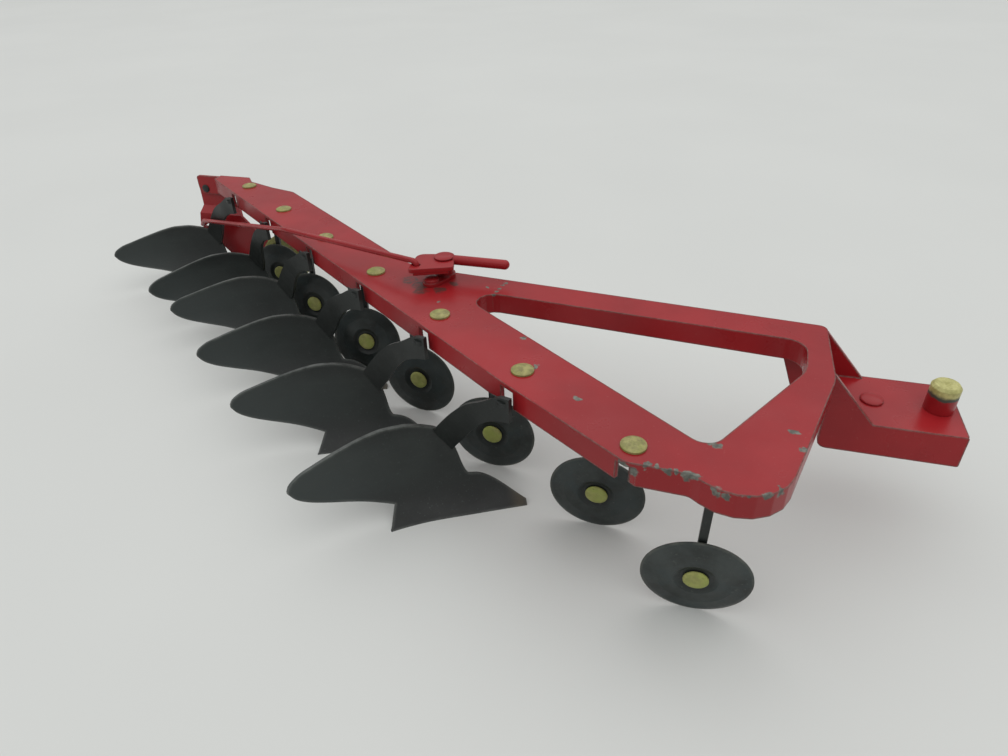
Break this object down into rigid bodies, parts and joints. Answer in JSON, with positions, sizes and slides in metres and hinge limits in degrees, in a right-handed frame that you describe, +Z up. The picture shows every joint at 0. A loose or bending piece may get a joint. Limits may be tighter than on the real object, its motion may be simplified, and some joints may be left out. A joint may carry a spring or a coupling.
{
  "type": "toy moldboard plough",
  "caption": "Toy moldboard plough in pressed steel: raked red frame, dark riveted bottoms and disc coulters, hand lever, rod and tail wheel.",
  "frame": {"origin": "centre of the hitch peg where it leaves the drawbar plate's top face", "axes": "+X is the way the plough is pulled, +Y its left side, +Z up along the hitch peg"},
  "size_m": [0.3675, 0.1793, 0.0624],
  "materials": {
    "red_paint": "glossy red enamel, worn through to grey at the edges",
    "dark_steel": "satin dark grey-green, faintly mottled",
    "zinc": "dull yellow-passivated zinc"
  },
  "bodies": {
    "frame": {"frame": "red_paint", "hitch_box": "red_paint", "hitch_peg": "red_paint", "hitch_rivet": "red_paint", "rivet_1": "zinc", "rivet_2": "zinc", "rivet_3": "zinc", "rivet_4": "zinc", "rivet_5": "zinc", "rivet_6": "zinc", "rivet_7": "zinc", "coulter_arm_1": "dark_steel", "coulter_arm_2": "dark_steel", "coulter_arm_3": "dark_steel", "coulter_arm_4": "dark_steel", "coulter_arm_5": "dark_steel", "coulter_arm_6": "dark_steel", "coulter_arm_7": "dark_steel", "coulter_pin_1": "zinc", "coulter_pin_2": "zinc", "coulter_pin_3": "zinc", "coulter_pin_4": "zinc", "coulter_pin_5": "zinc", "coulter_pin_6": "zinc", "coulter_pin_7": "zinc", "bottom_1": "dark_steel", "bottom_2": "dark_steel", "bottom_3": "dark_steel", "bottom_4": "dark_steel", "bottom_5": "dark_steel", "bottom_6": "dark_steel", "lever_post": "red_paint", "lever_rivet": "red_paint", "tail_pivot": "dark_steel"},
    "coulter_disc_1": {"coulter_disc_1": "dark_steel"},
    "coulter_disc_2": {"coulter_disc_2": "dark_steel"},
    "coulter_disc_3": {"coulter_disc_3": "dark_steel"},
    "coulter_disc_4": {"coulter_disc_4": "dark_steel"},
    "coulter_disc_5": {"coulter_disc_5": "dark_steel"},
    "coulter_disc_6": {"coulter_disc_6": "dark_steel"},
    "coulter_disc_7": {"coulter_disc_7": "dark_steel"},
    "lever": {"lever": "red_paint"},
    "rod": {"rod": "red_paint"},
    "tail_arm": {"tail_arm": "red_paint", "tail_axle": "zinc"},
    "tail_wheel": {"tail_wheel": "zinc"}
  },
  "joints": [
    {"name": "coulter_spin_1", "type": "hinge", "parent": "frame", "child": "coulter_disc_1", "pos_m": [-0.0619, -0.06015, -0.023], "axis": [0.0329, -0.992, -0.1219], "continuous": true},
    {"name": "coulter_spin_2", "type": "hinge", "parent": "frame", "child": "coulter_disc_2", "pos_m": [-0.09253, -0.03506, -0.023], "axis": [-0.0122, -0.996, -0.0889], "continuous": true},
    {"name": "coulter_spin_3", "type": "hinge", "parent": "frame", "child": "coulter_disc_3", "pos_m": [-0.13156, -0.01498, -0.023], "axis": [-0.0105, -0.9997, -0.0209], "continuous": true},
    {"name": "coulter_spin_4", "type": "hinge", "parent": "frame", "child": "coulter_disc_4", "pos_m": [-0.1684, 0.00981, -0.023], "axis": [-0.0976, -0.9951, 0.014], "continuous": true},
    {"name": "coulter_spin_5", "type": "hinge", "parent": "frame", "child": "coulter_disc_5", "pos_m": [-0.20053, 0.0311, -0.023], "axis": [0.071, -0.9902, 0.1201], "continuous": true},
    {"name": "coulter_spin_6", "type": "hinge", "parent": "frame", "child": "coulter_disc_6", "pos_m": [-0.23896, 0.05648, -0.023], "axis": [0, -0.9986, 0.0523], "continuous": true},
    {"name": "coulter_spin_7", "type": "hinge", "parent": "frame", "child": "coulter_disc_7", "pos_m": [-0.2725, 0.08277, -0.023], "axis": [0, -0.9986, 0.0523], "continuous": true},
    {"name": "lever_swing", "type": "hinge", "parent": "frame", "child": "lever", "pos_m": [-0.15896, 0.02092, 0.022], "axis": [0, 0, 1], "range_deg": [-35, 0]},
    {"name": "rod_turn", "type": "hinge", "parent": "lever", "child": "rod", "pos_m": [-0.16617, 0.01292, 0.024], "axis": [-0.0075, 0.0274, 0.9996], "range_deg": [0, 36.8]},
    {"name": "tail_arm_swing", "type": "hinge", "parent": "frame", "child": "tail_arm", "pos_m": [-0.3243, 0.10727, 0.0085], "axis": [0, 1, 0], "range_deg": [0, 22.2]},
    {"name": "tail_wheel_spin", "type": "hinge", "parent": "tail_arm", "child": "tail_wheel", "pos_m": [-0.2813, 0.10177, -0.0247], "axis": [0, -1, 0], "continuous": true}
  ],
  "couplings": [
    {"joint": "rod_turn", "follows": "lever_swing", "ratio": -1.0502},
    {"joint": "tail_arm_swing", "follows": "lever_swing", "ratio": -0.6342}
  ]
}
